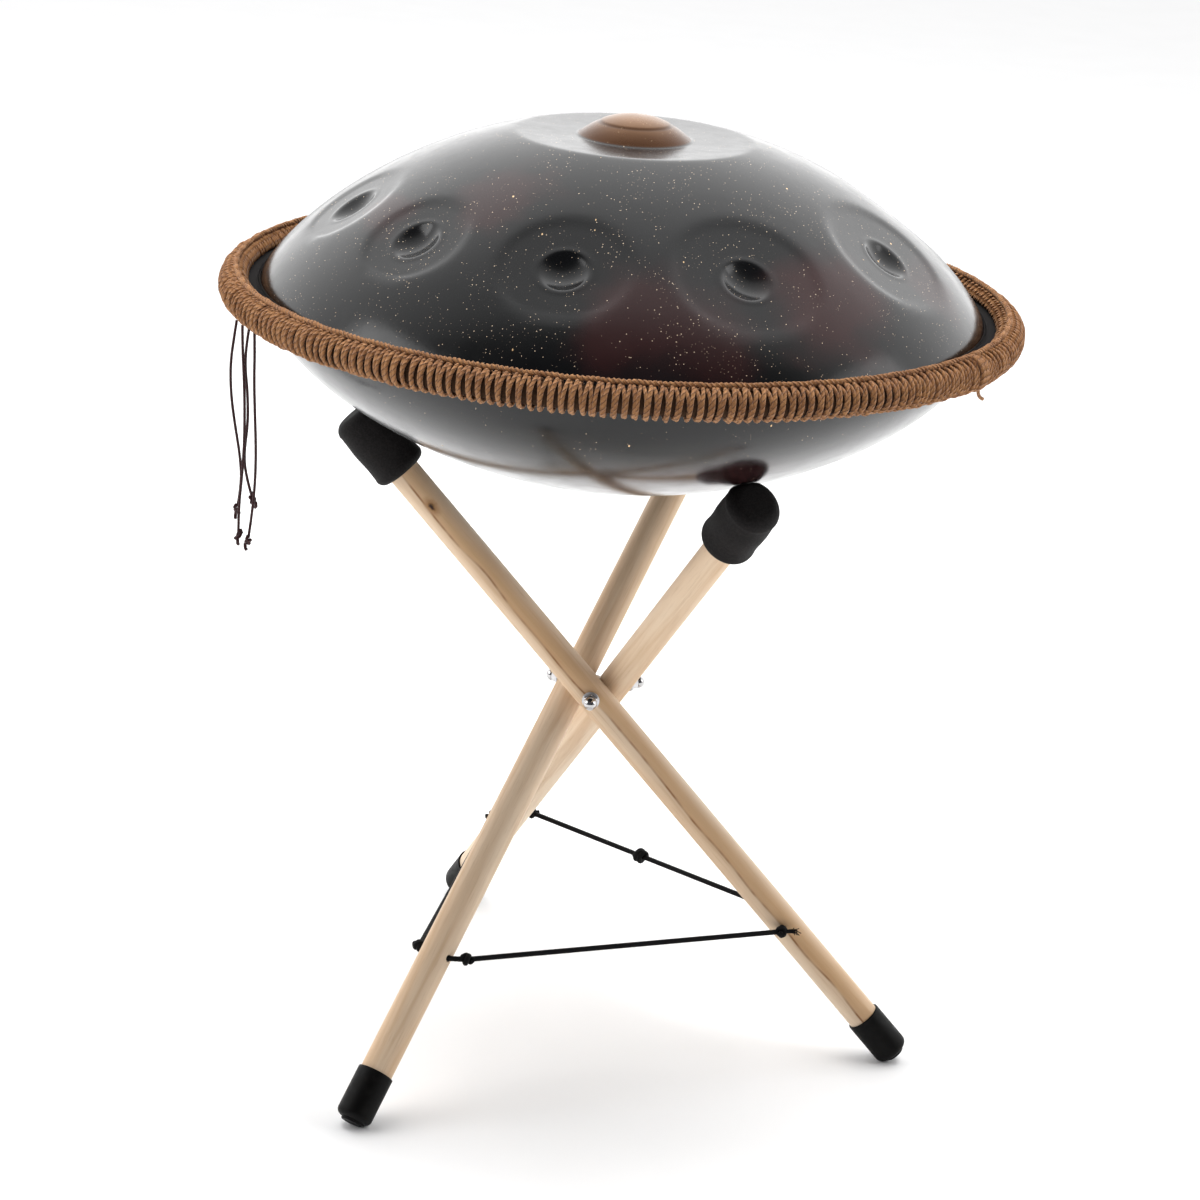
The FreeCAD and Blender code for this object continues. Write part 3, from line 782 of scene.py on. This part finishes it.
# ---- Stand ----
LEGS = ("a", "b", "c")
LEG_RADIUS = 0.012
LEG_LEAN = math.radians(43.0)
PAD_RADIUS, PAD_START, PAD_LENGTH, PAD_EDGE = 0.020, 0.220, 0.056, 0.009
PAD_TO_SHELL = 0.0004
LEG_ABOVE_WAIST = 0.258
FOOT_START, FOOT_LENGTH, FOOT_RADIUS, FOOT_EDGE = 0.331, 0.038, 0.0135, 0.005
LEG_BELOW_WAIST = 0.363
TREAD_RADIUS, TREAD_HEIGHT = 0.008, 0.002
PAD_SIDES, FOOT_SIDES, NUT_SIDES = 72, 64, 72
WASHER_FACE, WASHER_THICKNESS = 0.0295, 0.0014
WAIST_OFFSET = 0.0174
NUT_ACROSS_FLATS, NUT_HEX_HEIGHT, NUT_DOME_RADIUS, NUT_DOME_RAISE = 0.010, 0.0045, 0.0052, 0.0020
ROPE_RADIUS, ROPE_ALONG_LEG = 0.0020, 0.233
KNOT_RADIUS, KNOT_OFFSET = 0.0048, 0.0170
MID_KNOT_RADIUS, MID_KNOT_SHARE = 0.0062, 0.56
LOOSE_KNOT_SHIFT = 0.010
GRAIN_LINE, BRANCH_KNOT = math.radians(2.0), 0.188
FRAYED_TAIL, FRAY_RADIUS, FRAY_LENGTH = 0.0085, 0.00035, 0.0050


def leg_matrix(leg):
    """The leg's own frame: origin at the waist, X out along the bolt, Z up the dowel."""
    joint = JOINTS["leg_" + leg + "_fold"]
    bolt = -Vector(joint["axis"]).normalized()
    up = UP * math.cos(LEG_LEAN) - UP.cross(bolt) * math.sin(LEG_LEAN)
    matrix = Matrix((bolt, up.cross(bolt), up)).transposed().to_4x4()
    matrix.translation = joint["pos_m"]
    return matrix


def placed(points, matrix):
    return points @ np.array(matrix.to_3x3()).T + np.array(matrix.translation)


def pad_ceiling(points):
    """Radius of each point from the pan's axis, and the height of the underside above it, less a gap."""
    flat = np.hypot(points[..., 0], points[..., 1])
    return flat, PAN.z - GLUE_HALF - bottom_depth(flat) - PAD_TO_SHELL


def make_pad(leg, matrix, paint):
    """Foam cylinder with rounded ends and a bore, squeezed flat against the pan."""
    top = PAD_START + PAD_LENGTH
    inside = PAD_RADIUS - PAD_EDGE
    profile = [(LEG_RADIUS, z) for z in (LEG_ABOVE_WAIST, PAD_START + 0.020, PAD_START + 0.002)]
    profile += arc(LEG_RADIUS + 0.0012, PAD_START + 0.0012, 0.0012, 180.0, 270.0, 4)
    profile += arc(inside + 0.0035, PAD_START + 0.0058, 0.0058, 270.0, 360.0, 9)[1:]
    profile += [(PAD_RADIUS - 0.0003 * math.sin(k * 0.39), z) for k, z in
                enumerate(np.linspace(PAD_START + 0.008, top - PAD_EDGE, 22))]
    profile += arc(inside, top - PAD_EDGE, PAD_EDGE, 0.0, 90.0, 16)[1:]
    profile += [(inside * share, top) for share in (0.85, 0.7, 0.5, 0.3, 0.12)]
    ring = even_angles(PAD_SIDES)
    grid = lathe(profile, ring)
    grid += 0.00016 * np.sin(3.0 * ring + 40.0 * grid[..., 2])[..., None] * np.array([1.0, 1.0, 0.0])
    world = placed(grid, matrix)
    flat, ceiling = pad_ceiling(world)
    over = world[..., 2] - ceiling
    slope = (bottom_depth(flat + 0.001) - bottom_depth(flat)) / 0.001 / flat
    normal = unit(np.stack([-slope * world[..., 0], -slope * world[..., 1], np.ones_like(flat)], -1))
    push = np.maximum(over, 0.0) * normal[..., 2]
    world -= push[..., None] * normal
    swell = 0.0003 * np.exp(-(np.maximum(-over, 0.0) / 0.006) ** 2) * (over < 0.0)
    axis = np.array(matrix.translation) + grid[..., 2, None] * np.array(matrix.col[2][:3])
    spoke = world - axis
    spoke /= np.maximum(np.linalg.norm(spoke, axis=-1), 1e-6)[..., None]
    bulged = world + swell[..., None] * spoke
    bulged[..., 2] = np.minimum(bulged[..., 2], pad_ceiling(bulged)[1])
    net = Net()
    net.grid(bulged, 0.1)
    net.close(PAD_SIDES, bulged[0].mean(0), bulged[-1].mean(0))
    pad = net.make("pad_" + leg + "_foam", paint, "leg_" + leg, "pad_" + leg)


def make_foot(leg, matrix, paint):
    """Rubber cup round the dowel's end, with a rounded bottom and a small tread, flat on the floor."""
    top, bottom = -FOOT_START, -FOOT_START - FOOT_LENGTH
    tread = bottom - TREAD_HEIGHT
    profile = [(TREAD_RADIUS * share, tread) for share in (0.15, 0.5, 0.85)]
    profile += [(TREAD_RADIUS - 0.0004, tread), (TREAD_RADIUS, tread + 0.0004)]
    profile += [(TREAD_RADIUS, bottom - 0.0002)]
    profile += arc(FOOT_RADIUS - FOOT_EDGE, bottom + FOOT_EDGE, FOOT_EDGE, -90.0, 0.0, 10)
    profile += [(FOOT_RADIUS, z) for z in np.linspace(bottom + FOOT_EDGE, top - 0.0012, 9)[1:]]
    profile += arc(FOOT_RADIUS - 0.0007, top - 0.0007, 0.0007, 0.0, 90.0, 4)
    profile += [(LEG_RADIUS + 0.0002, top), (LEG_RADIUS + 0.00005, top - 0.0006)]
    profile += [(LEG_RADIUS, top - 0.01), (LEG_RADIUS, -LEG_BELOW_WAIST)]
    world = placed(lathe(profile, even_angles(FOOT_SIDES)), matrix)
    world[..., 2] = np.maximum(world[..., 2], 0.0)
    net = Net()
    net.grid(world, 0.1)
    net.close(FOOT_SIDES, world[0].mean(0), world[-1].mean(0))
    net.make("foot_" + leg + "_rubber", paint, "leg_" + leg, "foot_" + leg)


def nut_grid():
    """Hexagon with turned corners, and a ball-shaped cap, standing on Z = 0."""
    angles = even_angles(NUT_SIDES)
    apothem = NUT_ACROSS_FLATS / 2.0
    hexagon = apothem / np.cos((angles + math.pi / 6.0) % (math.pi / 3.0) - math.pi / 6.0)
    rows = []
    for height in (0.0, 0.0003, NUT_HEX_HEIGHT - 0.0008, NUT_HEX_HEIGHT - 0.0004, NUT_HEX_HEIGHT):
        trim = apothem * 1.135 - max(0.0, height - NUT_HEX_HEIGHT + 0.0009) * 0.7
        rows.append((np.minimum(hexagon, trim - (0.0002 if height == 0.0 else 0.0)), height))
    rows.append((np.full(NUT_SIDES, apothem * 0.93), NUT_HEX_HEIGHT + 0.0002))
    centre = NUT_HEX_HEIGHT + NUT_DOME_RAISE
    for turn in np.radians(np.linspace(-21.0, 86.0, 18)):
        ring = np.full(NUT_SIDES, NUT_DOME_RADIUS * 0.96 * math.cos(turn))
        rows.append((ring, centre + NUT_DOME_RADIUS * math.sin(turn)))
    return np.array([np.stack([r * np.cos(angles), r * np.sin(angles), np.full(NUT_SIDES, h)], -1)
                     for r, h in rows])


def make_nuts(paint, matrices):
    net = Net()
    for matrix in matrices:
        bolt = Vector(matrix.col[0][:3])
        centre = Vector(matrix.translation) + bolt * (WASHER_FACE + WASHER_THICKNESS - WAIST_OFFSET)
        turn = np.array(bolt.to_track_quat("Z", "Y").to_matrix())
        net.grid(nut_grid() @ turn.T + np.array(centre), 0.02, caps=True)
    net.make("cap_nuts_domed", paint, "hub", "cap_nuts")


def braid(angle, along):
    """Relief of an eight-strand plait: each strand goes over one and under one."""
    strands, cell, height = 4.0, 0.0026, 0.00022
    one = angle * strands / (2.0 * math.pi) + along / cell
    two = angle * strands / (2.0 * math.pi) - along / cell
    over = (np.floor(one) + np.floor(two)) % 2 < 1
    across_one, across_two = np.sin(math.pi * (one % 1.0)), np.sin(math.pi * (two % 1.0))
    first = np.where(over, across_one, across_two)
    second = np.where(over, across_two, across_one)
    return height * (np.sqrt(first) * (0.55 + 0.45 * second) - 0.75)


def fine_path(points, step):
    """Points a given step apart along straight lines between some points."""
    points = np.array(points, float)
    along = distances(points)
    wanted = np.linspace(0.0, along[-1], max(2, int(along[-1] / step)))
    return np.stack([np.interp(wanted, along, points[:, k]) for k in range(3)], 1)


def rope_places(matrix):
    """Where the rope goes through a leg, and the level direction of its hole."""
    point = matrix @ Vector((0.0, 0.0, -ROPE_ALONG_LEG))
    return point, UP.cross(Vector((point.x, point.y, 0.0)).normalized())


def knot_places(matrices):
    """Centre of the stopper knot on each side of each leg. One of leg c's is tied a little away from it."""
    places = {}
    for leg, matrix in zip(LEGS, matrices):
        point, hole = rope_places(matrix)
        for side in (-1.0, 1.0):
            places[leg, side] = point + hole * (side * KNOT_OFFSET)
    toward = (places["a", -1.0] - places["c", 1.0]).normalized()
    places["c", 1.0] += toward * LOOSE_KNOT_SHIFT
    return places


def add_round_knot(net, centre, axis, strand, body):
    """A knot pulled tight: the rope comes in along the axis, winds into a ball and crosses over itself."""
    def winding(share, radius, narrowing, turn):
        reach = radius * np.sqrt(1.0 - (narrowing * share) ** 2)
        return np.stack([reach * np.cos(turn), 0.60 * body * share, reach * np.sin(turn)], 1)

    share = np.linspace(-1.0, 1.0, 90)
    coil = winding(share, body - strand, 0.72, math.pi * 0.62 * body / strand * share)
    ends = np.array([[0.0, 1.2 * body, 0.0], [0.0, 0.9 * body, 0.0]])
    share = np.linspace(-1.0, 1.0, 40)
    over = winding(share, body - 0.85 * strand, 0.80, 2.3 + share)
    face = np.array(Vector(axis).normalized().to_track_quat("Y", "Z").to_matrix())
    for path in (np.concatenate([-ends, coil, ends[::-1]]), over):
        net.tube(fine_path(path @ face.T + np.array(centre), 0.0005), strand, 18, braid)


def add_frayed_tail(net, start, direction):
    """The rope's short free end, its filaments opening like a brush."""
    direction = direction.normalized()
    end = start + direction * FRAYED_TAIL
    net.tube(fine_path([start, end], 0.0005), ROPE_RADIUS * 0.8, 16, braid)
    for strand in range(16):
        spread = Vector(chance.standard_normal(3) * 0.38)
        root = end + Vector(chance.uniform(-0.4, 0.4, 3)) * ROPE_RADIUS * 1.6 - direction * 0.001
        middle = root + (direction + spread * 0.5) * FRAY_LENGTH * 0.5
        tip = middle + (direction + spread * 1.6) * FRAY_LENGTH * chance.uniform(0.25, 0.55)
        net.tube([root, middle, tip], FRAY_RADIUS, 6)


def make_leg_knots(leg, matrix, places, paint):
    point, hole = rope_places(matrix)
    net = Net()
    for side in (-1.0, 1.0):
        centre, mouth = places[leg, side], point + hole * (side * LEG_RADIUS)
        net.tube(fine_path([point, mouth, centre], 0.0006), ROPE_RADIUS * 0.98, 16, braid)
        add_round_knot(net, centre, centre - mouth, ROPE_RADIUS, KNOT_RADIUS)
    if leg == "a":
        add_frayed_tail(net, places["a", -1.0], Vector((0.95, -0.25, 0.22)))
    net.make("rope_knots_" + leg + "_tied", paint, "leg_" + leg, "rope_knots_" + leg)


def make_rope_span(leg, start, end, next_leg, share, paint):
    """Taut rope between two legs, in two halves that meet at a point a share of the way along."""
    clear = (end - start).normalized() * KNOT_RADIUS * 0.7
    first, last = start + clear, end - clear
    meet = start + (end - start) * share
    halves = (("rope_span_" + leg + "_near", first, meet, "leg_" + leg, first),
              ("rope_span_" + leg + "_far", meet, last, "leg_" + next_leg, last))
    for name, begin, finish, body, fixed in halves:
        shift = (begin - first).length
        net = Net()
        net.tube(fine_path([begin, finish], 0.00055), ROPE_RADIUS, 16,
                 lambda angle, along: braid(angle, along + shift))
        half = net.make(name, paint, None, "rope_span_" + leg)
        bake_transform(half)


def make_mid_knot(start, end, paint):
    net = Net()
    add_round_knot(net, start + (end - start) * MID_KNOT_SHARE, end - start, ROPE_RADIUS, MID_KNOT_RADIUS)
    net.make("rope_mid_knot_tied", paint, "hub", "rope_mid_knot")


def repaint(node, paint):
    target = frame["nodes"][node]
    target.data.materials.clear()
    target.data.materials.append(paint)
    target.data.polygons.foreach_set("material_index", np.zeros(len(target.data.polygons), np.int32))


# ---- Room ----
def make_floor():
    mesh = bpy.data.meshes.new("floor")
    size = 9.0
    corners = [(-size, -size, 0), (size, -size, 0), (size, size, 0), (-size, size, 0)]
    mesh.from_pydata(corners, [], [(0, 1, 2, 3)])
    floor = add_object("floor", mesh)
    paint = Paint("floor_paint")
    grain = paint.noise(paint.coordinates(), 9.0, 3.0)
    tone = paint.mix(grain, (0.92, 0.92, 0.92), (0.95, 0.95, 0.95))
    mesh.materials.append(paint.set(Base_Color=tone, Roughness=0.9, Specular_IOR_Level=0.1))


def make_world():
    """Light as in a room with a bright wall behind the object, dim in front. The backdrop itself is white."""
    world = bpy.data.worlds.new("room")
    bpy.context.scene.world = world
    room = Nodes(world)
    behind = room.node("SeparateXYZ", {0: room.node("TexCoord")}, 1)
    ramp = room.tree.nodes.new("ShaderNodeValToRGB")
    front, back = ramp.color_ramp.elements
    front.position, front.color = 0.24, (0.05, 0.05, 0.055, 1.0)
    back.position, back.color = 1.0, (1.0, 1.0, 1.0, 1.0)
    for position, value in ((0.36, 0.12), (0.46, 0.42), (0.56, 0.56), (0.78, 0.85)):
        ramp.color_ramp.elements.new(position).color = (value, value, value, 1.0)
    room.put(ramp.inputs[0], room.node("Math", {0: behind, 1: 0.5, 2: 0.5}, operation="MULTIPLY_ADD"))
    wall = room.tree.nodes["Background"]
    room.put(wall.inputs["Color"], ramp.outputs[0])
    room.put(wall.inputs["Strength"], 2.1)
    backdrop = room.node("Background", {"Color": (1.0, 1.0, 1.0)})
    seen = room.node("LightPath", output="Is Camera Ray")
    choice = room.node("MixShader", {0: seen, 1: wall.outputs[0], 2: backdrop})
    room.put(room.tree.nodes["World Output"].inputs["Surface"], choice)


def make_light(name, location, target, size, power, seen=True):
    data = bpy.data.lights.new(name, "AREA")
    data.shape = "RECTANGLE"
    data.size, data.size_y = size
    data.energy = power
    light = add_object(name, data)
    light.location = location
    light.rotation_euler = (Vector(target) - Vector(location)).to_track_quat("-Z", "Y").to_euler()
    light.visible_glossy = seen


def main():
    make_camera()
    make_tie_cords(waxed_cord_paint())

    # Painted dark red reflections on the top shell: centre, radius and strength of each.
    red_reflections = (((-0.080, -0.118, 0.105), 0.046, 0.55), ((-0.170, -0.095, 0.085), 0.034, 0.5),
             ((0.035, -0.238, 0.045), 0.075, 0.65), ((0.150, -0.185, 0.055), 0.068, 0.8),
             ((0.235, -0.065, 0.060), 0.045, 0.5), ((-0.05, 0.21, 0.06), 0.07, 0.5))
    make_top_shell(steel_paint("top_steel", 0.9, red_reflections, ding=True))
    # The bottom shell gets one painted dark red reflection at its front.
    make_bottom_shell(steel_paint("bottom_steel", 0.22, (((0.05, -0.17, -0.09), 0.09, 0.5),)))
    make_rim_wrap(jute_paint("jute_yarn"), core_paint())
    repaint("rim_glue", glue_paint())

    matrices = [leg_matrix(leg) for leg in LEGS]
    places = knot_places(matrices)
    foam, rubber, nylon = foam_paint(), rubber_paint(), black_rope_paint()
    for index, (leg, matrix) in enumerate(zip(LEGS, matrices)):
        grain = (GRAIN_LINE, BRANCH_KNOT) if leg == "a" else ()
        repaint("leg_" + leg, wood_paint("dowel_" + leg, matrix, 0.8 + 1.7 * index, *grain))
        make_pad(leg, matrix, foam)
        make_foot(leg, matrix, rubber)
        make_leg_knots(leg, matrix, places, nylon)
    for index, leg in enumerate(LEGS):
        following = LEGS[(index + 1) % 3]
        start, end = places[leg, 1.0], places[following, -1.0]
        share = MID_KNOT_SHARE if leg == "a" else 0.5
        make_rope_span(leg, start, end, following, share, nylon)
        if leg == "a":
            make_mid_knot(start, end, nylon)
    make_nuts(metal_paint("chrome_plate", (0.54, 0.53, 0.53), 0.06, 0.15), matrices)
    zinc = metal_paint("zinc_plate", (0.62, 0.62, 0.64), 0.25, 0.42)
    repaint("hub_studs", zinc)
    repaint("washers", zinc)

    make_floor()
    make_world()
    make_light("overhead", (0.0, 0.4, 3.2), (0.0, 0.0, 0.3), (3.0, 2.4), 95.0, seen=False)
    make_light("left", (-2.6, -0.6, 1.6), (0.0, 0.0, 0.5), (1.6, 1.6), 26.0)
    make_light("right", (2.8, -0.2, 1.4), (0.0, 0.0, 0.5), (1.4, 1.8), 16.0)
    bpy.context.scene.view_settings.view_transform = "Standard"


main()
